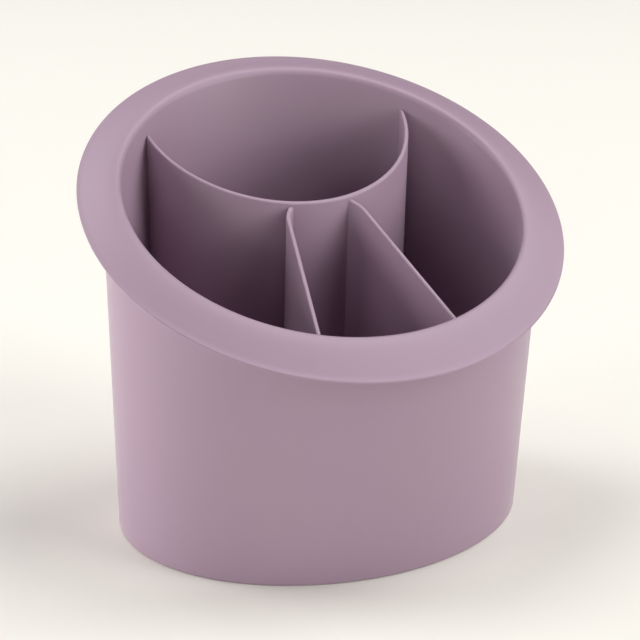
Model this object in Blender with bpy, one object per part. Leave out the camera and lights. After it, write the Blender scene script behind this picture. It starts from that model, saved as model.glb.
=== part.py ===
"""Oval cutlery holder with a slanted rolled rim.

Three moulded plastic pieces nest in each other: the drip cup stands on the table, the drain basket
hangs in it by its rolled rim, and the divider insert stands in the basket. X runs along the oval's
long axis, Y points to the back, where the rim is highest, and Z is up from the table.
"""

import math

import bmesh
import bpy

# Body: the drip cup's outer face
BODY_LENGTH = 0.1500      # long axis of the oval at the rim's middle height
BODY_WIDTH = 0.1190       # short axis there
RIM_HEIGHT = 0.1121       # table to the rim's crest, on the centre line
RIM_TILT = math.radians(28.5)
WALL_DRAFT = math.radians(1.8)

# Drip cup
CUP_WALL = 0.0020
CUP_FLOOR = 0.0020
FOOT_RECESS = 0.0010      # the floor stands off the table inside the foot ring
FOOT_WIDTH = 0.0060
FOOT_EDGE_RADIUS = 0.0008
CUP_CORNER_RADIUS = 0.0040
CUP_EDGE_RADIUS = 0.0005

# Drain basket
NESTING_GAP = 0.0018      # between the cup's wall and the basket's wall
BASKET_WALL = 0.0024
BASKET_FLOOR = 0.0022
DRIP_SPACE = 0.0080       # clear height under the basket for the water
BASKET_CORNER_RADIUS = 0.0060
SEAT_GAP = 0.0003         # between the rim's underside and the cup's edge
DRAIN_HOLE = 0.0060       # diameter
DRAIN_PITCH = 0.0130
DRAIN_MARGIN = 0.0030     # least web between a hole and the wall or a divider

# Rolled rim of the basket
RIM_OVERHANG_ENDS = 0.0083    # lip beyond the body at the long axis' ends
RIM_OVERHANG_SIDES = 0.0062   # lip beyond the body at front and back
RIM_SHELL = 0.0018
RIM_DROP = 0.0041         # crest down to the lip's lower edge
RIM_MOUTH_RADIUS = 0.0016     # from the inner wall onto the crest
RIM_CROWN_SHARE = 0.3     # rounding of the crest before the straight slope, as a share of the rim's width
LIP_RADIUS = 0.0004       # rounding of the lip's thin edge
LIP_BORDER = 0.0006       # level border along the lip

# Divider insert
DIVIDER_WALL = 0.0014
DIVIDER_GAP = 0.0004      # to the basket's wall and floor
ARC_WIDTH = 0.0965        # across the curved wall
ARC_DEPTH = 0.0384        # from its ends to its foremost point
ARC_FRONT = 0.0046        # its foremost point, measured from the centre line towards the back
ARC_DROP = 0.0054         # its top edge under the rim's crest
FIN_DROP = 0.0065         # the fins' top edges under the rim's crest
FIN_ROOT_SPACING = 0.0207     # between the fins where they leave the curved wall
FIN_BEND = 0.0056         # length of the curved root
FIN_BEND_SPACING = 0.0282     # between the fins where they become straight
FIN_SPLAY = math.radians(12.6)

# Fineness of the round shapes
OVAL_STEPS = 72
ROUND_STEPS = 4
CROWN_STEPS = 7
ARC_STEPS = 36
BEND_STEPS = 5
HOLE_SIDES = 12
SHARP_ANGLE = math.radians(35)    # steeper edges are shaded sharp

# Derived places
LEAN = math.tan(WALL_DRAFT)
RISE = math.tan(RIM_TILT)
CUP_FLOOR_TOP = FOOT_RECESS + CUP_FLOOR
BASKET_OUTER_INSET = CUP_WALL + NESTING_GAP
BASKET_INNER_INSET = BASKET_OUTER_INSET + BASKET_WALL
BASKET_BOTTOM = CUP_FLOOR_TOP + DRIP_SPACE
BASKET_FLOOR_TOP = BASKET_BOTTOM + BASKET_FLOOR
LIP_LENGTH = BODY_LENGTH / 2 + RIM_OVERHANG_ENDS
LIP_WIDTH = BODY_WIDTH / 2 + RIM_OVERHANG_SIDES
OVERRUN = BODY_WIDTH      # how far cutters and untrimmed walls run past what they meet

PLASTIC = (0.37, 0.26, 0.35, 1.0)
PLASTIC_ROUGHNESS = 0.42


def clear_scene():
    for old in list(bpy.data.objects):
        bpy.data.objects.remove(old, do_unlink=True)
    for old in list(bpy.data.collections):
        bpy.data.collections.remove(old)


def plastic(name):
    material = bpy.data.materials.new(name)
    material.use_nodes = True
    shader = material.node_tree.nodes["Principled BSDF"]
    shader.inputs["Base Color"].default_value = PLASTIC
    shader.inputs["Roughness"].default_value = PLASTIC_ROUGHNESS
    shader.inputs["Metallic"].default_value = 0.0
    return material


def level_ring(inset, height):
    """A level oval, inset from the body's tapered outer face at that height."""
    lean_in = LEAN * (RIM_HEIGHT - height) + inset
    half_length = BODY_LENGTH / 2 - lean_in
    half_width = BODY_WIDTH / 2 - lean_in
    ring = []
    for step in range(OVAL_STEPS):
        turn = math.tau * step / OVAL_STEPS
        ring.append((half_length * math.cos(turn), half_width * math.sin(turn), height))
    return ring


def slanted_ring(inset, drop):
    """An oval on the tapered wall, cut by the rim's plane lowered by drop."""
    ring = []
    for step in range(OVAL_STEPS):
        turn = math.tau * step / OVAL_STEPS
        reach = BODY_WIDTH / 2 - inset - LEAN * drop
        y = reach * math.sin(turn) / (1 - LEAN * RISE * math.sin(turn))
        z = RIM_HEIGHT - drop + RISE * y
        half_length = BODY_LENGTH / 2 - inset - LEAN * (RIM_HEIGHT - z)
        ring.append((half_length * math.cos(turn), y, z))
    return ring


def lip_ring(inset, drop):
    """An oval of the rim's lip, inset from its outermost line."""
    ring = []
    for step in range(OVAL_STEPS):
        turn = math.tau * step / OVAL_STEPS
        y = (LIP_WIDTH - inset) * math.sin(turn)
        x = (LIP_LENGTH - inset) * math.cos(turn)
        ring.append((x, y, RIM_HEIGHT - drop + RISE * y))
    return ring


def between(inner, outer, share, drop):
    """A ring part of the way from one ring to another, on the rim's plane lowered by drop."""
    ring = []
    for (x0, y0, _), (x1, y1, _) in zip(inner, outer):
        y = y0 + (y1 - y0) * share
        ring.append((x0 + (x1 - x0) * share, y, RIM_HEIGHT - drop + RISE * y))
    return ring


def crown_fall(share):
    """Share of the rim's fall at a share of the way out: round at the crest, then nearly straight."""
    start = RIM_CROWN_SHARE
    return (math.hypot(share, start) - start) / (math.hypot(1, start) - start)


def crown(step):
    """Share of the way out and share of the fall at one step, with short steps at the crest."""
    share = (step / CROWN_STEPS) ** 2
    return share, crown_fall(share)


def quarter(step):
    """Cosine and sine at one step of a quarter round."""
    turn = math.pi / 2 * step / ROUND_STEPS
    return math.cos(turn), math.sin(turn)


def loft(name, rings):
    """A closed shell through the rings, from its underside's last ring round to its floor."""
    mesh = bpy.data.meshes.new(name)
    shell = bmesh.new()
    loops = [[shell.verts.new(point) for point in ring] for ring in rings]
    for lower, upper in zip(loops, loops[1:]):
        for step in range(OVAL_STEPS):
            after = (step + 1) % OVAL_STEPS
            shell.faces.new((lower[step], lower[after], upper[after], upper[step]))
    shell.faces.new(reversed(loops[0]))
    shell.faces.new(loops[-1])
    bmesh.ops.recalc_face_normals(shell, faces=shell.faces)
    shell.to_mesh(mesh)
    shell.free()
    return mesh


def place(mesh, collection, material=None):
    piece = bpy.data.objects.new(mesh.name, mesh)
    collection.objects.link(piece)
    if material:
        mesh.materials.clear()
        mesh.materials.append(material)
        mesh.shade_smooth()
        mesh.set_sharp_from_angle(angle=SHARP_ANGLE)
    else:
        piece.hide_render = True
        piece.display_type = "WIRE"
    return piece


def boolean(piece, other, operation):
    cut = piece.modifiers.new(other.name, "BOOLEAN")
    cut.operation = operation
    cut.solver = "EXACT"
    cut.object = other


def cup_rings():
    rings = [level_ring(FOOT_WIDTH + FOOT_RECESS, FOOT_RECESS), level_ring(FOOT_WIDTH, 0)]
    for step in range(ROUND_STEPS + 1):
        cos, sin = quarter(step)
        rings.append(level_ring(FOOT_EDGE_RADIUS * (1 - sin), FOOT_EDGE_RADIUS * (1 - cos)))
    rings.append(slanted_ring(0, cup_top_drop() + CUP_EDGE_RADIUS))
    rings.append(slanted_ring(CUP_EDGE_RADIUS, cup_top_drop()))
    rings.append(slanted_ring(CUP_WALL - CUP_EDGE_RADIUS, cup_top_drop()))
    rings.append(slanted_ring(CUP_WALL, cup_top_drop() + CUP_EDGE_RADIUS))
    for step in range(ROUND_STEPS + 1):
        cos, sin = quarter(step)
        inset = CUP_WALL + CUP_CORNER_RADIUS * (1 - cos)
        rings.append(level_ring(inset, CUP_FLOOR_TOP + CUP_CORNER_RADIUS * (1 - sin)))
    return rings


def cup_top_drop():
    """The cup's edge stands just under the rim's arch, which is shallowest over it at the back."""
    back_lean = LEAN * RISE * BODY_WIDTH / 2
    span = BASKET_OUTER_INSET + RIM_OVERHANG_SIDES - back_lean - LIP_RADIUS
    fall = crown_fall((BASKET_OUTER_INSET - CUP_EDGE_RADIUS) / span)
    return RIM_SHELL + (RIM_DROP - RIM_SHELL) * fall + SEAT_GAP


def basket_rings():
    rings = []
    for step in range(ROUND_STEPS + 1):
        cos, sin = quarter(step)
        inset = BASKET_OUTER_INSET + BASKET_CORNER_RADIUS * (1 - sin)
        rings.append(level_ring(inset, BASKET_BOTTOM + BASKET_CORNER_RADIUS * (1 - cos)))
    rings += rim_rings()
    corner = BASKET_CORNER_RADIUS - BASKET_WALL
    for step in range(ROUND_STEPS + 1):
        cos, sin = quarter(step)
        inset = BASKET_INNER_INSET + corner * (1 - cos)
        rings.append(level_ring(inset, BASKET_FLOOR_TOP + corner * (1 - sin)))
    return rings


def rim_rings():
    """From the wall's outer face under the arch, round the lip, over the crest, to the inner face."""
    wall = slanted_ring(BASKET_OUTER_INSET, RIM_SHELL)
    lip_bottom = lip_ring(LIP_RADIUS, RIM_DROP)
    rings = []
    for step in range(CROWN_STEPS + 1):
        share, fallen = crown(step)
        rings.append(between(wall, lip_bottom, share, RIM_SHELL + (RIM_DROP - RIM_SHELL) * fallen))
    rings.append(lip_ring(0, RIM_DROP - LIP_RADIUS))
    lip_top = RIM_DROP - 2 * LIP_RADIUS
    rings.append(lip_ring(LIP_RADIUS, lip_top))
    crest = slanted_ring(BASKET_INNER_INSET - RIM_MOUTH_RADIUS, 0)
    lip_border = lip_ring(LIP_BORDER, lip_top)
    for step in reversed(range(CROWN_STEPS + 1)):
        share, fallen = crown(step)
        rings.append(between(crest, lip_border, share, lip_top * fallen))
    for step in range(1, ROUND_STEPS + 1):
        cos, sin = quarter(step)
        inset = BASKET_INNER_INSET - RIM_MOUTH_RADIUS * (1 - sin)
        rings.append(slanted_ring(inset, RIM_MOUTH_RADIUS * (1 - cos)))
    return rings


def arc_point(angle, grow):
    """A point of the curved wall in plan: grow moves it off the wall's middle."""
    x = (ARC_WIDTH / 2 + grow) * math.cos(angle)
    return x, ARC_FRONT + ARC_DEPTH + (ARC_DEPTH + grow) * math.sin(angle)


def arc_outline():
    """The curved wall in plan, with straight ends that run on through the basket's wall."""
    half = DIVIDER_WALL / 2
    outline = []
    for grow, steps in ((half, range(ARC_STEPS + 1)), (-half, reversed(range(ARC_STEPS + 1)))):
        side = [arc_point(-math.pi * step / ARC_STEPS, grow) for step in steps]
        far = ARC_FRONT + ARC_DEPTH + OVERRUN
        outline += [(side[0][0], far), *side, (side[-1][0], far)]
    return outline


def fin_middle():
    """The right fin's middle line in plan, from inside the curved wall to beyond the basket's."""
    root = (FIN_ROOT_SPACING / 2, arc_front_at(FIN_ROOT_SPACING / 2))
    bend = (FIN_BEND_SPACING / 2, root[1] - FIN_BEND)
    # the bend leaves along the straight stretch, drawn back to where it meets the root's height
    knee_rise = FIN_BEND / 2
    knee = (bend[0] - math.tan(FIN_SPLAY) * knee_rise, bend[1] + knee_rise)
    line = []
    for step in range(BEND_STEPS + 1):
        share = step / BEND_STEPS
        weights = ((1 - share) ** 2, 2 * share * (1 - share), share**2)
        line.append([sum(w * p[axis] for w, p in zip(weights, (root, knee, bend))) for axis in (0, 1)])
    line.append((bend[0] + math.tan(FIN_SPLAY) * OVERRUN, bend[1] - OVERRUN))
    return line


def arc_front_at(x):
    """How far back the curved wall's middle stands at x."""
    return ARC_FRONT + ARC_DEPTH * (1 - math.sqrt(1 - (x / (ARC_WIDTH / 2)) ** 2))


def fin_outline():
    """The right fin in plan: its middle line, thickened to both sides."""
    line = fin_middle()
    left, right = [], []
    for index, (x, y) in enumerate(line):
        before, after = line[max(index - 1, 0)], line[min(index + 1, len(line) - 1)]
        along_x, along_y = after[0] - before[0], after[1] - before[1]
        scale = DIVIDER_WALL / 2 / math.hypot(along_x, along_y)
        left.append((x - along_y * scale, y + along_x * scale))
        right.append((x + along_y * scale, y - along_x * scale))
    return left + right[::-1]


def upright(name, outline, mirror=1):
    """A wall as tall as it can be, from its plan outline: a flat curve, extruded and made a mesh."""
    curve = bpy.data.curves.new(name, "CURVE")
    curve.dimensions = "2D"
    curve.fill_mode = "BOTH"
    curve.extrude = RIM_HEIGHT
    spline = curve.splines.new("POLY")
    spline.points.add(len(outline) - 1)
    for point, (x, y) in zip(spline.points, outline):
        point.co = (mirror * x, y, 0, 1)
    spline.use_cyclic_u = True
    flat = bpy.data.objects.new(name + "_curve", curve)
    bpy.context.scene.collection.objects.link(flat)
    bpy.context.view_layer.update()
    evaluated = flat.evaluated_get(bpy.context.evaluated_depsgraph_get())
    mesh = bpy.data.meshes.new_from_object(evaluated)
    mesh.name = name
    bpy.data.objects.remove(flat)
    solid = bmesh.new()
    solid.from_mesh(mesh)
    bmesh.ops.remove_doubles(solid, verts=solid.verts, dist=DIVIDER_WALL / 1000)
    bmesh.ops.translate(solid, verts=solid.verts, vec=(0, 0, RIM_HEIGHT))
    bmesh.ops.recalc_face_normals(solid, faces=solid.faces)
    solid.to_mesh(mesh)
    solid.free()
    return mesh


def compartment_space(name, drop):
    """The basket's inside less the divider's gap, up to the rim's plane lowered by drop."""
    rings = []
    corner = BASKET_CORNER_RADIUS - BASKET_WALL
    floor = BASKET_FLOOR_TOP + DIVIDER_GAP
    for step in range(ROUND_STEPS + 1):
        cos, sin = quarter(step)
        inset = BASKET_INNER_INSET + DIVIDER_GAP + corner * (1 - sin)
        rings.append(level_ring(inset, floor + corner * (1 - cos)))
    rings.append(slanted_ring(BASKET_INNER_INSET + DIVIDER_GAP, drop))
    return loft(name, rings)


def drain_places():
    """Centres of the drain holes: staggered rows that keep clear of the corner and the divider."""
    row_pitch = DRAIN_PITCH * math.sin(math.pi / 3)
    corner = BASKET_INNER_INSET + BASKET_CORNER_RADIUS - BASKET_WALL
    lean_in = LEAN * (RIM_HEIGHT - BASKET_FLOOR_TOP) + corner + DRAIN_HOLE / 2 + DRAIN_MARGIN
    half_length = BODY_LENGTH / 2 - lean_in
    half_width = BODY_WIDTH / 2 - lean_in
    rows = int(half_width / row_pitch)
    columns = int(half_length / DRAIN_PITCH) + 1
    places = []
    for row in range(-rows, rows + 1):
        for column in range(-columns, columns + 1):
            x = (column + (row % 2) / 2) * DRAIN_PITCH
            y = row * row_pitch
            if math.hypot(x / half_length, y / half_width) < 1 and clear_of_divider(x, y):
                places.append((x, y))
    return places


def clear_of_divider(x, y):
    need = DRAIN_HOLE / 2 + DIVIDER_WALL / 2 + DRAIN_MARGIN / 2
    wall = [arc_point(-math.pi * step / ARC_STEPS, 0) for step in range(ARC_STEPS + 1)]
    line = fin_middle()
    fins = [line, [(-px, py) for px, py in line]]
    return all(gap_to(path, x, y) > need for path in [wall, *fins])


def gap_to(path, x, y):
    """Least distance in plan from a point to a path of straight pieces."""
    least = math.inf
    for (x0, y0), (x1, y1) in zip(path, path[1:]):
        along_x, along_y = x1 - x0, y1 - y0
        share = ((x - x0) * along_x + (y - y0) * along_y) / (along_x**2 + along_y**2)
        share = min(max(share, 0), 1)
        least = min(least, math.hypot(x - x0 - along_x * share, y - y0 - along_y * share))
    return least


def drain_cutter():
    """All drain holes in one mesh: a short cylinder through the basket's floor for each."""
    mesh = bpy.data.meshes.new("drain_holes")
    holes = bmesh.new()
    for x, y in drain_places():
        made = bmesh.ops.create_cone(
            holes, cap_ends=True, segments=HOLE_SIDES, radius1=DRAIN_HOLE / 2,
            radius2=DRAIN_HOLE / 2, depth=BASKET_FLOOR + DRIP_SPACE)
        bmesh.ops.translate(holes, verts=made["verts"], vec=(x, y, BASKET_FLOOR_TOP - BASKET_FLOOR / 2))
    holes.to_mesh(mesh)
    holes.free()
    return mesh


def build():
    clear_scene()
    scene = bpy.context.scene
    holder = bpy.data.collections.new("cutlery_holder")
    cutters = bpy.data.collections.new("cutters")
    scene.collection.children.link(holder)
    scene.collection.children.link(cutters)

    place(loft("drip_cup", cup_rings()), holder, plastic("cup_plastic"))

    basket = place(loft("drain_basket", basket_rings()), holder, plastic("basket_plastic"))
    boolean(basket, place(drain_cutter(), cutters), "DIFFERENCE")

    divider = place(upright("divider_insert", arc_outline()), holder, plastic("divider_plastic"))
    boolean(divider, place(compartment_space("space_to_arc_top", ARC_DROP), cutters), "INTERSECT")
    fin_space = place(compartment_space("space_to_fin_top", FIN_DROP), cutters)
    for name, mirror in (("left_fin", -1), ("right_fin", 1)):
        fin = place(upright(name, fin_outline(), mirror), cutters)
        boolean(fin, fin_space, "INTERSECT")
        boolean(divider, fin, "UNION")


build()
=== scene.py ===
import math

import bmesh
import bpy
from mathutils import Matrix, Vector


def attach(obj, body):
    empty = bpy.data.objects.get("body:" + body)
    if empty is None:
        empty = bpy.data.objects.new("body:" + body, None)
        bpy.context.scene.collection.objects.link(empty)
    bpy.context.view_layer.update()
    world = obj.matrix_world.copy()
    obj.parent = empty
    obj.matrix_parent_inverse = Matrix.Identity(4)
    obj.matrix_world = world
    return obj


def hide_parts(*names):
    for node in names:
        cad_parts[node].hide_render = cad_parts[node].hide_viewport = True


print("Loading the frame")
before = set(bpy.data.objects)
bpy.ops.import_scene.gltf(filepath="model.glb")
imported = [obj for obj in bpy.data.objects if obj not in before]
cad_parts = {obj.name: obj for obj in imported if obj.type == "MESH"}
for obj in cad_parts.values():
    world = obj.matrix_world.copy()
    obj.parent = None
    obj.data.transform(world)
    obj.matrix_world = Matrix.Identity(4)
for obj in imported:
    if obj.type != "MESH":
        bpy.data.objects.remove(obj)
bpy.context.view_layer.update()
scene = bpy.context.scene

# The oval, tapered body that all three pieces follow, in metres and degrees
body = {
    "length": 0.1500,
    "width": 0.1190,
    "rimHeight": 0.1121,
    "rimTilt": 28.5,
    "draft": 1.8,
    "steps": 192,
    "roundSteps": 8,
    "mergeDistance": 0.000002,
    "sharpAngle": 40,
}
rise = math.tan(math.radians(body["rimTilt"]))
lean = math.tan(math.radians(body["draft"]))


# The camera, at the photograph's angle
def makeCamera():
    view = {
        "azimuth": -26.886,
        "elevation": 21.096,
        "roll": 1.466,
        "distance": 0.60026,
        "aim": (0, 0, 0.070),
        "besideAim": 0.001576,
        "aboveAim": 0.001342,
        "lens": 100.43,
        "sensor": 36,
    }
    turn, climb = math.radians(view["azimuth"]), math.radians(view["elevation"])
    right = Vector((math.cos(turn), math.sin(turn), 0))
    ahead = Vector((-math.sin(turn) * math.cos(climb), math.cos(turn) * math.cos(climb), -math.sin(climb)))
    up = right.cross(ahead)
    place = Vector(view["aim"]) - right * view["besideAim"] - up * view["aboveAim"]
    place -= ahead * view["distance"]
    spin = math.radians(view["roll"])
    rolledRight = right * math.cos(spin) + up * math.sin(spin)
    rolledUp = up * math.cos(spin) - right * math.sin(spin)
    lensData = bpy.data.cameras.new("photoCamera")
    lensData.lens = view["lens"]
    lensData.sensor_width = view["sensor"]
    camera = bpy.data.objects.new("photoCamera", lensData)
    scene.collection.objects.link(camera)
    axes = Matrix((rolledRight, rolledUp, -ahead)).transposed()
    camera.matrix_world = Matrix.Translation(place) @ axes.to_4x4()
    scene.camera = camera


# Small helpers for node trees
def feed(tree, socket, value):
    if isinstance(value, bpy.types.NodeSocket):
        tree.links.new(value, socket)
    else:
        socket.default_value = value


def calc(tree, operation, *values):
    node = tree.nodes.new("ShaderNodeMath")
    node.operation = operation
    for socket, value in zip(node.inputs, values):
        feed(tree, socket, value)
    return node.outputs[0]


def mixVectors(tree, share, first, second):
    node = tree.nodes.new("ShaderNodeMix")
    node.data_type = "VECTOR"
    feed(tree, node.inputs["Factor"], share)
    feed(tree, node.inputs[4], first)
    feed(tree, node.inputs[5], second)
    return node.outputs[1]


def joinXyz(tree, x, y, z):
    node = tree.nodes.new("ShaderNodeCombineXYZ")
    for socket, value in zip(node.inputs, (x, y, z)):
        feed(tree, socket, value)
    return node.outputs[0]


def namedNumber(tree, name):
    node = tree.nodes.new("GeometryNodeInputNamedAttribute")
    node.data_type = "FLOAT"
    node.inputs["Name"].default_value = name
    return node.outputs["Attribute"]


def step(tree, kind, geometrySocket, geometry, **values):
    # one geometry step: makes the node, feeds its geometry and its other sockets by name
    node = tree.nodes.new(kind)
    feed(tree, node.inputs[geometrySocket], geometry)
    for name, value in values.items():
        feed(tree, node.inputs[name.replace("_", " ")], value)
    return node


def newTree(name, numbers, wholeNumbers=()):
    tree = bpy.data.node_groups.new(name, "GeometryNodeTree")
    tree.interface.new_socket("Geometry", in_out="INPUT", socket_type="NodeSocketGeometry")
    for label in numbers:
        tree.interface.new_socket(label, in_out="INPUT", socket_type="NodeSocketFloat")
    for label in wholeNumbers:
        tree.interface.new_socket(label, in_out="INPUT", socket_type="NodeSocketInt")
    tree.interface.new_socket("Material", in_out="INPUT", socket_type="NodeSocketMaterial")
    tree.interface.new_socket("Geometry", in_out="OUTPUT", socket_type="NodeSocketGeometry")
    return tree, tree.nodes.new("NodeGroupInput"), tree.nodes.new("NodeGroupOutput")


def endTree(tree, start, end, geometry):
    smooth = step(tree, "GeometryNodeSetShadeSmooth", "Geometry", geometry)
    real = step(tree, "GeometryNodeRealizeInstances", "Geometry", smooth.outputs[0])
    painted = step(tree, "GeometryNodeSetMaterial", "Geometry", real.outputs[0],
                   Material=start.outputs["Material"])
    tree.links.new(painted.outputs[0], end.inputs["Geometry"])


def runTree(tree, mesh, values):
    # evaluates the tree on a mesh and gives back the plain mesh it makes
    carrier = bpy.data.objects.new(mesh.name + "Carrier", mesh)
    scene.collection.objects.link(carrier)
    modifier = carrier.modifiers.new(tree.name, "NODES")
    modifier.node_group = tree
    for socket in tree.interface.items_tree:
        if socket.in_out == "INPUT" and socket.name in values:
            modifier[socket.identifier] = values[socket.name]
    bpy.context.view_layer.update()
    made = bpy.data.meshes.new_from_object(carrier.evaluated_get(bpy.context.evaluated_depsgraph_get()))
    carrier.modifiers.remove(modifier)
    bpy.data.objects.remove(carrier)
    return made


# The oval sweep: a wall's profile carried round the body
def ovalSweepTree():
    sizes = ("Half Length", "Half Width", "Rim Height", "Rise", "Lean", "Lip Half Length", "Lip Half Width")
    tree, start, end = newTree("ovalSweep", sizes, ("Steps",))
    size = {name: start.outputs[name] for name in (*sizes, "Steps")}
    inset, height, drop = (namedNumber(tree, name) for name in ("inset", "height", "drop"))
    slant, lipInset, lipShare = (namedNumber(tree, name) for name in ("slant", "lipInset", "lipShare"))

    circle = tree.nodes.new("GeometryNodeCurvePrimitiveCircle")
    tree.links.new(size["Steps"], circle.inputs["Resolution"])
    index = tree.nodes.new("GeometryNodeInputIndex").outputs[0]
    turn = calc(tree, "MULTIPLY", calc(tree, "DIVIDE", index, size["Steps"]), math.tau)
    path = step(tree, "GeometryNodeStoreNamedAttribute", "Geometry", circle.outputs[0],
                Name="turn", Value=turn)
    profile = step(tree, "GeometryNodeMeshToCurve", "Mesh", start.outputs["Geometry"])
    sweep = step(tree, "GeometryNodeCurveToMesh", "Curve", path.outputs[0])
    tree.links.new(profile.outputs[0], sweep.inputs["Profile Curve"])

    cos = calc(tree, "COSINE", namedNumber(tree, "turn"))
    sin = calc(tree, "SINE", namedNumber(tree, "turn"))

    # a level ring on the tapered face
    depth = calc(tree, "SUBTRACT", size["Rim Height"], height)
    inward = calc(tree, "MULTIPLY_ADD", size["Lean"], depth, inset)
    level = joinXyz(
        tree,
        calc(tree, "MULTIPLY", calc(tree, "SUBTRACT", size["Half Length"], inward), cos),
        calc(tree, "MULTIPLY", calc(tree, "SUBTRACT", size["Half Width"], inward), sin),
        height,
    )

    # a ring of the same face, cut by the rim's plane lowered by the drop
    topHeight = calc(tree, "SUBTRACT", size["Rim Height"], drop)
    topInward = calc(tree, "MULTIPLY_ADD", size["Lean"], drop, inset)
    reach = calc(tree, "SUBTRACT", size["Half Width"], topInward)
    shrink = calc(tree, "MULTIPLY", calc(tree, "MULTIPLY", size["Lean"], size["Rise"]), sin)
    stretch = calc(tree, "SUBTRACT", 1, shrink)
    slantY = calc(tree, "DIVIDE", calc(tree, "MULTIPLY", reach, sin), stretch)
    slantZ = calc(tree, "MULTIPLY_ADD", size["Rise"], slantY, topHeight)
    slantDepth = calc(tree, "SUBTRACT", size["Rim Height"], slantZ)
    slantInward = calc(tree, "MULTIPLY_ADD", size["Lean"], slantDepth, inset)
    slantX = calc(tree, "MULTIPLY", calc(tree, "SUBTRACT", size["Half Length"], slantInward), cos)
    slanted = joinXyz(tree, slantX, slantY, slantZ)

    # a ring of the lip, which is a plain oval in plan
    lipX = calc(tree, "MULTIPLY", calc(tree, "SUBTRACT", size["Lip Half Length"], lipInset), cos)
    lipY = calc(tree, "MULTIPLY", calc(tree, "SUBTRACT", size["Lip Half Width"], lipInset), sin)
    lip = joinXyz(tree, lipX, lipY, calc(tree, "MULTIPLY_ADD", size["Rise"], lipY, topHeight))

    place = mixVectors(tree, slant, level, mixVectors(tree, lipShare, slanted, lip))
    placed = step(tree, "GeometryNodeSetPosition", "Geometry", sweep.outputs[0], Position=place)
    endTree(tree, start, end, placed.outputs[0])
    return tree


# The pierced plate: an oval floor with rounded holes at the carrier's points
def piercedPlateTree():
    sizes = ("Top Half Length", "Top Half Width", "Bottom Half Length", "Bottom Half Width",
             "Top", "Thickness", "Hole Radius", "Edge Radius")
    tree, start, end = newTree("piercedPlate", sizes, ("Steps", "Hole Steps", "Side Segments"))
    size = {name: start.outputs[name] for name in (*sizes, "Steps", "Hole Steps", "Side Segments")}
    holes = start.outputs["Geometry"]
    mouth = calc(tree, "ADD", size["Hole Radius"], size["Edge Radius"])
    bottom = calc(tree, "SUBTRACT", size["Top"], size["Thickness"])

    # the flat faces: an oval with a circle for each hole, filled
    ring = tree.nodes.new("GeometryNodeCurvePrimitiveCircle")
    tree.links.new(size["Hole Steps"], ring.inputs["Resolution"])
    tree.links.new(mouth, ring.inputs["Radius"])
    mouths = step(tree, "GeometryNodeInstanceOnPoints", "Points", holes, Instance=ring.outputs[0])
    outline = tree.nodes.new("GeometryNodeCurvePrimitiveCircle")
    tree.links.new(size["Steps"], outline.inputs["Resolution"])
    outline.inputs["Radius"].default_value = 1
    faces = []
    for label, height in (("Top", size["Top"]), ("Bottom", bottom)):
        scale = joinXyz(tree, size[label + " Half Length"], size[label + " Half Width"], 1)
        oval = step(tree, "GeometryNodeTransform", "Geometry", outline.outputs[0], Scale=scale)
        together = tree.nodes.new("GeometryNodeJoinGeometry")
        tree.links.new(oval.outputs[0], together.inputs[0])
        tree.links.new(mouths.outputs[0], together.inputs[0])
        real = step(tree, "GeometryNodeRealizeInstances", "Geometry", together.outputs[0])
        filled = step(tree, "GeometryNodeFillCurve", "Curve", real.outputs[0])
        raised = step(tree, "GeometryNodeTransform", "Geometry", filled.outputs[0],
                      Translation=joinXyz(tree, 0, 0, height))
        faces.append(raised.outputs[0])

    # the holes' walls: a tube whose ends flare out in a quarter round
    tube = tree.nodes.new("GeometryNodeMeshCylinder")
    tube.fill_type = "NONE"
    tree.links.new(size["Hole Steps"], tube.inputs["Vertices"])
    tree.links.new(size["Side Segments"], tube.inputs["Side Segments"])
    tube.inputs["Radius"].default_value = 1
    tube.inputs["Depth"].default_value = 2
    position = tree.nodes.new("GeometryNodeInputPosition").outputs[0]
    parts = tree.nodes.new("ShaderNodeSeparateXYZ")
    tree.links.new(position, parts.inputs[0])
    doubled = calc(tree, "MULTIPLY", calc(tree, "ABSOLUTE", parts.outputs[2]), 2)
    pastStraight = calc(tree, "MAXIMUM", calc(tree, "SUBTRACT", doubled, 1), 0)
    flare = calc(tree, "MULTIPLY", pastStraight, math.pi / 2)
    flareShare = calc(tree, "SUBTRACT", 1, calc(tree, "COSINE", flare))
    grown = calc(tree, "MULTIPLY", size["Edge Radius"], flareShare)
    radius = calc(tree, "ADD", size["Hole Radius"], grown)
    halfThick = calc(tree, "MULTIPLY", size["Thickness"], 0.5)
    straight = calc(tree, "SUBTRACT", halfThick, size["Edge Radius"])
    along = calc(tree, "MULTIPLY", calc(tree, "MINIMUM", doubled, 1), straight)
    fromMiddle = calc(tree, "MULTIPLY_ADD", size["Edge Radius"], calc(tree, "SINE", flare), along)
    signed = calc(tree, "MULTIPLY", fromMiddle, calc(tree, "SIGN", parts.outputs[2]))
    wall = joinXyz(tree, calc(tree, "MULTIPLY", parts.outputs[0], radius),
                   calc(tree, "MULTIPLY", parts.outputs[1], radius), signed)
    shaped = step(tree, "GeometryNodeSetPosition", "Geometry", tube.outputs[0], Position=wall)
    walls = step(tree, "GeometryNodeInstanceOnPoints", "Points", holes, Instance=shaped.outputs[0])
    middle = calc(tree, "SUBTRACT", size["Top"], halfThick)
    lifted = step(tree, "GeometryNodeTransform", "Geometry", walls.outputs[0],
                  Translation=joinXyz(tree, 0, 0, middle))

    plate = tree.nodes.new("GeometryNodeJoinGeometry")
    for part in (*faces, lifted.outputs[0]):
        tree.links.new(part, plate.inputs[0])
    endTree(tree, start, end, plate.outputs[0])
    return tree


# Profiles: each point says where it lies on the tapered body
profileFields = ("inset", "height", "drop", "slant", "lipInset", "lipShare")


def levelPoint(inset, height):
    return {"inset": inset, "height": height}


def slantedPoint(inset, drop, lipInset=0, lipShare=0):
    return {"inset": inset, "drop": drop, "slant": 1, "lipInset": lipInset, "lipShare": lipShare}


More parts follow.
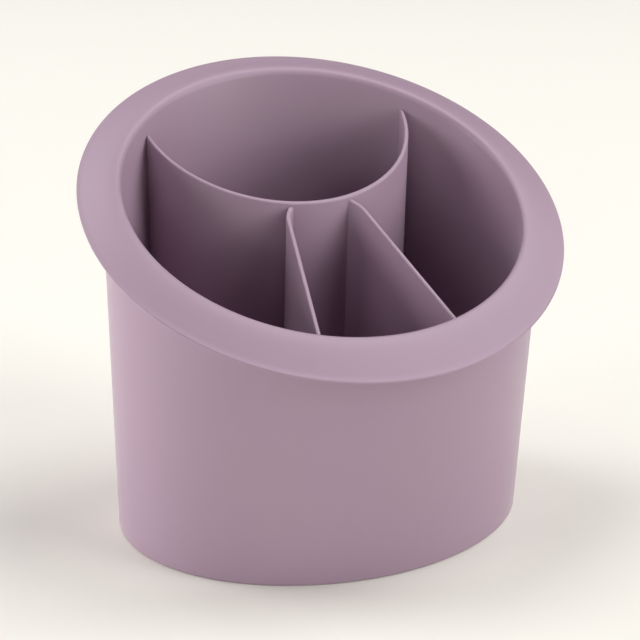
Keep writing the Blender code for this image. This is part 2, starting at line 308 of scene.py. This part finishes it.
def wallPoints(inset, height, drop, steps):
    # the plain stretch of a wall, from a level ring to a slanted one
    return [{"inset": inset, "height": height, "drop": drop, "slant": n / steps} for n in range(1, steps)]


def quarter(n):
    turn = math.pi / 2 * n / body["roundSteps"]
    return math.cos(turn), math.sin(turn)


def profileMesh(name, points):
    mesh = bpy.data.meshes.new(name)
    edges = [(n, n + 1) for n in range(len(points) - 1)]
    mesh.from_pydata([(n, 0, 0) for n in range(len(points))], edges, [])
    for field in profileFields:
        attribute = mesh.attributes.new(field, "FLOAT", "POINT")
        attribute.data.foreach_set("value", [point.get(field, 0) for point in points])
    return mesh


def sweepRound(name, points, material):
    values = {
        "Half Length": body["length"] / 2,
        "Half Width": body["width"] / 2,
        "Rim Height": body["rimHeight"],
        "Rise": rise,
        "Lean": lean,
        "Lip Half Length": body["length"] / 2 + rim["overEnds"],
        "Lip Half Width": body["width"] / 2 + rim["overSides"],
        "Steps": body["steps"],
        "Material": material,
    }
    return runTree(ovalSweep, profileMesh(name, points), values)


def ovalAt(inset, height):
    inward = lean * (body["rimHeight"] - height) + inset
    return body["length"] / 2 - inward, body["width"] / 2 - inward


def finishMesh(name, meshes, sharpAngle=body["sharpAngle"]):
    # joins meshes at their shared edges, closes what is open, and turns every face outwards
    work = bmesh.new()
    for mesh in meshes:
        work.from_mesh(mesh)
    bmesh.ops.remove_doubles(work, verts=work.verts, dist=body["mergeDistance"])
    bmesh.ops.holes_fill(work, edges=[edge for edge in work.edges if edge.is_boundary], sides=0)
    bmesh.ops.recalc_face_normals(work, faces=work.faces)
    result = meshes[0]
    work.to_mesh(result)
    work.free()
    for field in [a.name for a in result.attributes if a.name in (*profileFields, "turn")]:
        result.attributes.remove(result.attributes[field])
    result.name = name
    result.shade_smooth()
    result.set_sharp_from_angle(angle=math.radians(sharpAngle))
    return result


def addPiece(name, mesh):
    piece = bpy.data.objects.new(name, mesh)
    scene.collection.objects.link(piece)
    return piece


# The drip cup
cup = {
    "wall": 0.0020,
    "floor": 0.0020,
    "footRecess": 0.0010,
    "footWidth": 0.0060,
    "footEdgeRadius": 0.0008,
    "cornerRadius": 0.0040,
    "edgeRadius": 0.0005,
    "wallSteps": 16,
}
cupFloorTop = cup["footRecess"] + cup["floor"]

# The drain basket, and the rolled rim that it hangs by
basket = {
    "nestingGap": 0.0018,
    "wall": 0.0024,
    "floor": 0.0022,
    "dripSpace": 0.0080,
    "cornerRadius": 0.0060,
    "wallSteps": 16,
}
basketOuter = cup["wall"] + basket["nestingGap"]
basketInner = basketOuter + basket["wall"]
basketBottom = cupFloorTop + basket["dripSpace"]
basketFloorTop = basketBottom + basket["floor"]
rim = {
    "overEnds": 0.0083,
    "overSides": 0.0062,
    "shell": 0.0018,
    "drop": 0.0041,
    "mouthRadius": 0.0016,
    "crownShare": 0.3,
    "lipRadius": 0.0004,
    "lipBorder": 0.0006,
    "lipSink": 0.00006,
    "seatGap": 0.0003,
    "crownSteps": 18,
}


def crownFall(share):
    # round at the crest, then a nearly straight slope out to the lip
    start = rim["crownShare"]
    return (math.hypot(share, start) - start) / (math.hypot(1, start) - start)


def cupEdgeDrop():
    # the cup's edge stands just under the rim's arch, which is shallowest over it at the back
    span = basketOuter + rim["overSides"] - lean * rise * body["width"] / 2 - rim["lipRadius"]
    fall = crownFall((basketOuter - cup["edgeRadius"]) / span)
    return rim["shell"] + (rim["drop"] - rim["shell"]) * fall + rim["seatGap"]


def makeCup(material):
    edge, wall, top = cup["edgeRadius"], cup["wall"], cupEdgeDrop()
    foot, recess = cup["footWidth"], cup["footRecess"]
    points = [levelPoint(foot + recess, recess), levelPoint(foot, 0)]
    for n in range(body["roundSteps"] + 1):
        cos, sin = quarter(n)
        points.append(levelPoint(cup["footEdgeRadius"] * (1 - sin), cup["footEdgeRadius"] * (1 - cos)))
    points += wallPoints(0, cup["footEdgeRadius"], top + edge, cup["wallSteps"])
    for n in range(body["roundSteps"] + 1):
        cos, sin = quarter(n)
        points.append(slantedPoint(edge * (1 - cos), top + edge * (1 - sin)))
    for n in range(body["roundSteps"] + 1):
        cos, sin = quarter(n)
        points.append(slantedPoint(wall - edge * (1 - sin), top + edge * (1 - cos)))
    inner = cupFloorTop + cup["cornerRadius"]
    points += wallPoints(wall, inner, top + edge, cup["wallSteps"])[::-1]
    for n in range(body["roundSteps"] + 1):
        cos, sin = quarter(n)
        points.append(levelPoint(wall + cup["cornerRadius"] * (1 - cos), inner - cup["cornerRadius"] * sin))
    return addPiece("cupShell", finishMesh("cupShell", [sweepRound("cupProfile", points, material)]))


def basketProfile():
    corner, shell, mouth = basket["cornerRadius"], rim["shell"], rim["mouthRadius"]
    # the lip sinks by what its full round would stand above the solid's faceted one
    lipRadius, drop = rim["lipRadius"], rim["drop"] + rim["lipSink"]
    points = []
    for n in range(body["roundSteps"] + 1):
        cos, sin = quarter(n)
        points.append(levelPoint(basketOuter + corner * (1 - sin), basketBottom + corner * (1 - cos)))
    points += wallPoints(basketOuter, basketBottom + corner, shell, basket["wallSteps"])
    shares = [(n / rim["crownSteps"]) ** 2 for n in range(rim["crownSteps"] + 1)]
    crown = [(share, crownFall(share)) for share in shares]
    for share, fallen in crown:
        points.append(slantedPoint(basketOuter, shell + (drop - shell) * fallen, lipRadius, share))
    for n in range(1, 2 * body["roundSteps"] + 1):
        cos, sin = quarter(n)
        points.append(slantedPoint(0, drop - lipRadius * (1 - cos), lipRadius * (1 - sin), 1))
    crest = basketInner - mouth
    for share, fallen in crown[::-1]:
        points.append(slantedPoint(crest, (drop - 2 * lipRadius) * fallen, rim["lipBorder"], share))
    for n in range(1, body["roundSteps"] + 1):
        cos, sin = quarter(n)
        points.append(slantedPoint(basketInner - mouth * (1 - sin), mouth * (1 - cos)))
    inner = corner - basket["wall"]
    points += wallPoints(basketInner, basketFloorTop + inner, mouth, basket["wallSteps"])[::-1]
    for n in range(body["roundSteps"] + 1):
        cos, sin = quarter(n)
        points.append(levelPoint(basketInner + inner * (1 - cos), basketFloorTop + inner * (1 - sin)))
    return points


# The drain holes in the basket's floor: staggered rows, clear of the corner and the divider
drain = {
    "radius": 0.0030,
    "edgeRadius": 0.0004,
    "pitch": 0.0130,
    "margin": 0.0030,
    "steps": 32,
    "sideSegments": 16,
    "arcSteps": 36,
    "finSteps": 6,
}


def drainPlaces():
    rowPitch = drain["pitch"] * math.sin(math.pi / 3)
    corner = basketInner + basket["cornerRadius"] - basket["wall"]
    halfLength, halfWidth = ovalAt(corner + drain["radius"] + drain["margin"], basketFloorTop)
    rows = int(halfWidth / rowPitch)
    columns = int(halfLength / drain["pitch"]) + 1
    places = []
    for row in range(-rows, rows + 1):
        for column in range(-columns, columns + 1):
            x, y = (column + (row % 2) / 2) * drain["pitch"], row * rowPitch
            if math.hypot(x / halfLength, y / halfWidth) < 1 and clearOfDivider(x, y):
                places.append((x, y, 0))
    return places


def clearOfDivider(x, y):
    need = drain["radius"] + divider["wall"] / 2 + drain["margin"] / 2
    arc = [arcPoint(-math.pi * n / drain["arcSteps"], 0) for n in range(drain["arcSteps"] + 1)]
    right = finLine(drain["finSteps"])
    left = [(-px, py) for px, py in right]
    return all(gapTo(path, x, y) > need for path in (arc, left, right))


def gapTo(path, x, y):
    least = math.inf
    for (x0, y0), (x1, y1) in zip(path, path[1:]):
        along = Vector((x1 - x0, y1 - y0))
        share = min(max((Vector((x - x0, y - y0)) @ along) / along.length_squared, 0), 1)
        least = min(least, math.hypot(x - x0 - along.x * share, y - y0 - along.y * share))
    return least


def makeBasket(material):
    wall = sweepRound("basketProfile", basketProfile(), material)
    places = bpy.data.meshes.new("drainPlaces")
    places.from_pydata(drainPlaces(), [], [])
    topHalf = ovalAt(basketInner + basket["cornerRadius"] - basket["wall"], basketFloorTop)
    bottomHalf = ovalAt(basketOuter + basket["cornerRadius"], basketBottom)
    plate = runTree(piercedPlate, places, {
        "Top Half Length": topHalf[0],
        "Top Half Width": topHalf[1],
        "Bottom Half Length": bottomHalf[0],
        "Bottom Half Width": bottomHalf[1],
        "Top": basketFloorTop,
        "Thickness": basket["floor"],
        "Hole Radius": drain["radius"],
        "Edge Radius": drain["edgeRadius"],
        "Steps": body["steps"],
        "Hole Steps": drain["steps"],
        "Side Segments": drain["sideSegments"],
        "Material": material,
    })
    return addPiece("basketShell", finishMesh("basketShell", [wall, plate]))


# The divider insert: a curved wall with two fins in front of it
divider = {
    "wall": 0.0014,
    "gap": 0.0004,
    "topRadius": 0.0005,
    "arcWidth": 0.0965,
    "arcDepth": 0.0384,
    "arcFront": 0.0046,
    "arcDrop": 0.0054,
    "arcSteps": 120,
    "finDrop": 0.0065,
    "rootSpacing": 0.0207,
    "bend": 0.0056,
    "bendSpacing": 0.0282,
    "splay": 12.6,
    "bendSteps": 24,
    "roundSteps": 5,
    "spaceSteps": 4,
    "overrun": 0.030,
    "sharpAngle": 30,
}


def arcPoint(angle, grow):
    x = (divider["arcWidth"] / 2 + grow) * math.cos(angle)
    return x, divider["arcFront"] + divider["arcDepth"] + (divider["arcDepth"] + grow) * math.sin(angle)


def arcFrontAt(x):
    inside = 1 - (x / (divider["arcWidth"] / 2)) ** 2
    return divider["arcFront"] + divider["arcDepth"] * (1 - math.sqrt(inside))


def finLine(steps):
    # the right fin's middle line in plan: a curved root, then straight to beyond the basket's wall
    slope = math.tan(math.radians(divider["splay"]))
    root = Vector((divider["rootSpacing"] / 2, arcFrontAt(divider["rootSpacing"] / 2)))
    bend = Vector((divider["bendSpacing"] / 2, root.y - divider["bend"]))
    knee = bend + Vector((-slope, 1)) * divider["bend"] / 2
    line = []
    for n in range(steps):
        share = n / (steps - 1)
        point = root * (1 - share) ** 2 + knee * 2 * share * (1 - share) + bend * share**2
        line.append((point.x, point.y))
    far = body["width"] / 2 + divider["overrun"]
    line.append((bend.x + slope * (bend.y + far), -far))
    return line


def uprightSection(half, topRadius):
    # half of the cross-section of a thin wall, as offset from its middle and depth under its top
    section = [(half, None), (half, topRadius)]
    for n in range(1, divider["roundSteps"] + 1):
        turn = math.pi / 2 * n / divider["roundSteps"]
        section.append((half - topRadius * (1 - math.cos(turn)), topRadius * (1 - math.sin(turn))))
    return section


def wallMesh(name, stations):
    # a closed upright wall through stations along its middle line, each of which gives a function
    # from the offset off that line to a point in plan, the half thickness and the drop of the top
    work = bmesh.new()
    rings = []
    for pointAt, half, drop in stations:
        section = uprightSection(half, divider["topRadius"])
        ring = []
        for side, points in ((-1, section), (1, section[::-1])):
            for offset, depth in points:
                x, y = pointAt(side * offset)
                z = 0 if depth is None else body["rimHeight"] - drop + rise * y - depth
                ring.append(work.verts.new((x, y, z)))
        rings.append(ring)
    count = len(rings[0])
    for before, after in zip(rings, rings[1:]):
        for n in range(count):
            m = (n + 1) % count
            work.faces.new((before[n], before[m], after[m], after[n]))
    work.faces.new(rings[0][::-1])
    work.faces.new(rings[-1])
    bmesh.ops.recalc_face_normals(work, faces=work.faces)
    mesh = bpy.data.meshes.new(name)
    work.to_mesh(mesh)
    work.free()
    return mesh


def arcStations():
    half = divider["wall"] / 2
    end = divider["arcFront"] + divider["arcDepth"] + divider["overrun"]
    stations = []
    for n in range(divider["arcSteps"] + 1):
        angle = -math.pi * n / divider["arcSteps"]
        stations.append((lambda grow, angle=angle: arcPoint(angle, grow), half, divider["arcDrop"]))
    right = (lambda grow: (divider["arcWidth"] / 2 + grow, end), half, divider["arcDrop"])
    left = (lambda grow: (-divider["arcWidth"] / 2 - grow, end), half, divider["arcDrop"])
    return [right, *stations, left]


def finStations(mirror):
    line = finLine(divider["bendSteps"])
    stations = []
    for n, (x, y) in enumerate(line):
        before, after = line[max(n - 1, 0)], line[min(n + 1, len(line) - 1)]
        along = Vector((after[0] - before[0], after[1] - before[1])).normalized()

        def pointAt(offset, x=x, y=y, along=along):
            return mirror * (x - along.y * offset), y + along.x * offset

        stations.append((pointAt, divider["wall"] / 2, divider["finDrop"]))
    return stations


def compartmentSpace():
    # the basket's inside less the divider's gap, as a cutter
    corner = basket["cornerRadius"] - basket["wall"]
    inset = basketInner + divider["gap"]
    floor = basketFloorTop + divider["gap"]
    points = []
    for n in range(body["roundSteps"] + 1):
        cos, sin = quarter(n)
        points.append(levelPoint(inset + corner * (1 - sin), floor + corner * (1 - cos)))
    points += wallPoints(inset, floor + corner, 0, divider["spaceSteps"])
    points.append(slantedPoint(inset, 0))
    return finishMesh("compartmentSpace", [sweepRound("compartmentSpace", points, None)])


def combine(piece, other, operation):
    modifier = piece.modifiers.new(operation, "BOOLEAN")
    modifier.operation = operation
    modifier.solver = "EXACT"
    modifier.object = other
    bpy.context.view_layer.update()
    made = bpy.data.meshes.new_from_object(piece.evaluated_get(bpy.context.evaluated_depsgraph_get()))
    piece.modifiers.remove(modifier)
    piece.data = made
    bpy.data.objects.remove(other)


def makeDivider(material):
    piece = addPiece("dividerWalls", wallMesh("arcWall", arcStations()))
    for mirror in (1, -1):
        combine(piece, addPiece("fin", wallMesh("fin", finStations(mirror))), "UNION")
    combine(piece, addPiece("space", compartmentSpace()), "INTERSECT")
    piece.data = finishMesh("dividerWalls", [piece.data], divider["sharpAngle"])
    piece.data.materials.clear()
    piece.data.materials.append(material)
    return piece


# The plastic: satin polypropylene with a fine grain
plastic = {
    "colour": (0.370, 0.261, 0.351),
    "colourShift": (0.388, 0.259, 0.332),
    "sheen": 0.3,
    "sheenRoughness": 0.3,
    "roughness": (0.36, 0.46),
    "refraction": 1.49,
    "grainSize": 0.0004,
    "grainHeight": 0.000004,
    "grainDetail": 2,
    "cloudSize": 0.05,
    "cloudDetail": 3,
}


def makePlastic(name):
    material = bpy.data.materials.new(name)
    material.use_nodes = True
    tree = material.node_tree
    shader = tree.nodes["Principled BSDF"]
    place = tree.nodes.new("ShaderNodeTexCoord").outputs["Object"]

    cloud = tree.nodes.new("ShaderNodeTexNoise")
    cloud.inputs["Scale"].default_value = 1 / plastic["cloudSize"]
    cloud.inputs["Detail"].default_value = plastic["cloudDetail"]
    tree.links.new(place, cloud.inputs["Vector"])
    tint = tree.nodes.new("ShaderNodeMix")
    tint.data_type = "RGBA"
    tint.inputs[6].default_value = (*plastic["colour"], 1)
    tint.inputs[7].default_value = (*plastic["colourShift"], 1)
    tree.links.new(cloud.outputs["Fac"], tint.inputs["Factor"])
    tree.links.new(tint.outputs[2], shader.inputs["Base Color"])

    grain = tree.nodes.new("ShaderNodeTexNoise")
    grain.inputs["Scale"].default_value = 1 / plastic["grainSize"]
    grain.inputs["Detail"].default_value = plastic["grainDetail"]
    tree.links.new(place, grain.inputs["Vector"])
    gloss = tree.nodes.new("ShaderNodeMapRange")
    gloss.inputs["To Min"].default_value, gloss.inputs["To Max"].default_value = plastic["roughness"]
    tree.links.new(grain.outputs["Fac"], gloss.inputs["Value"])
    tree.links.new(gloss.outputs["Result"], shader.inputs["Roughness"])
    bump = tree.nodes.new("ShaderNodeBump")
    bump.inputs["Distance"].default_value = plastic["grainHeight"]
    tree.links.new(grain.outputs["Fac"], bump.inputs["Height"])
    tree.links.new(bump.outputs["Normal"], shader.inputs["Normal"])
    shader.inputs["IOR"].default_value = plastic["refraction"]
    shader.inputs["Sheen Weight"].default_value = plastic["sheen"]
    shader.inputs["Sheen Roughness"].default_value = plastic["sheenRoughness"]
    return material


# The studio: a plain pale floor and soft light
studio = {
    "floorSize": 6,
    "floorColour": (0.90, 0.88, 0.81),
    "floorRoughness": 0.9,
    "skyStrength": 0,
    "target": (0, 0, 0.08),
    "lampReach": 3,
    "lampSize": 1.6,
    "lamps": {
        "highRight": {"azimuth": 0, "elevation": 65, "power": 31},
        "right": {"azimuth": 0, "elevation": 40, "power": 13},
        "highBack": {"azimuth": 90, "elevation": 65, "power": 11},
        "highBackLeft": {"azimuth": 135, "elevation": 65, "power": 24},
        "lowBackLeft": {"azimuth": 135, "elevation": 10, "power": 48},
        "lowLeft": {"azimuth": 180, "elevation": 10, "power": 44},
        "lowFrontLeft": {"azimuth": 225, "elevation": 10, "power": 10},
        "lowFront": {"azimuth": 315, "elevation": 10, "power": 34},
        "highFront": {"azimuth": 315, "elevation": 40, "power": 22},
    },
}


def makeStudio():
    bpy.ops.mesh.primitive_plane_add(size=studio["floorSize"])
    floor = bpy.context.object
    floor.name = "paleFloor"
    paint = bpy.data.materials.new("palePaint")
    paint.use_nodes = True
    shader = paint.node_tree.nodes["Principled BSDF"]
    shader.inputs["Base Color"].default_value = (*studio["floorColour"], 1)
    shader.inputs["Roughness"].default_value = studio["floorRoughness"]
    floor.data.materials.append(paint)

    sky = bpy.data.worlds.new("softSky")
    scene.world = sky
    sky.use_nodes = True
    background = sky.node_tree.nodes["Background"]
    background.inputs["Strength"].default_value = studio["skyStrength"]
    target = Vector(studio["target"])
    for name, lamp in studio["lamps"].items():
        data = bpy.data.lights.new(name, "AREA")
        data.shape = "DISK"
        data.size = studio["lampSize"]
        data.energy = lamp["power"]
        light = bpy.data.objects.new(name, data)
        scene.collection.objects.link(light)
        turn, climb = math.radians(lamp["azimuth"]), math.radians(lamp["elevation"])
        away = Vector((math.cos(turn) * math.cos(climb), math.sin(turn) * math.cos(climb), math.sin(climb)))
        aim = (-away).to_track_quat("-Z", "Y")
        place = Matrix.Translation(target + away * studio["lampReach"])
        light.matrix_world = place @ aim.to_matrix().to_4x4()
    scene.view_settings.view_transform = "Standard"


print("Camera and studio")
makeCamera()
makeStudio()

print("Node trees")
ovalSweep = ovalSweepTree()
piercedPlate = piercedPlateTree()

print("Drip cup")
cupShell = makeCup(makePlastic("cupPlastic"))
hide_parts("drip_cup")
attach(cupShell, "cup")

print("Drain basket")
basketShell = makeBasket(makePlastic("basketPlastic"))
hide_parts("drain_basket")
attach(basketShell, "basket")

print("Divider insert")
dividerWalls = makeDivider(makePlastic("dividerPlastic"))
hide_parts("divider_insert")
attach(dividerWalls, "divider")

print("Done")
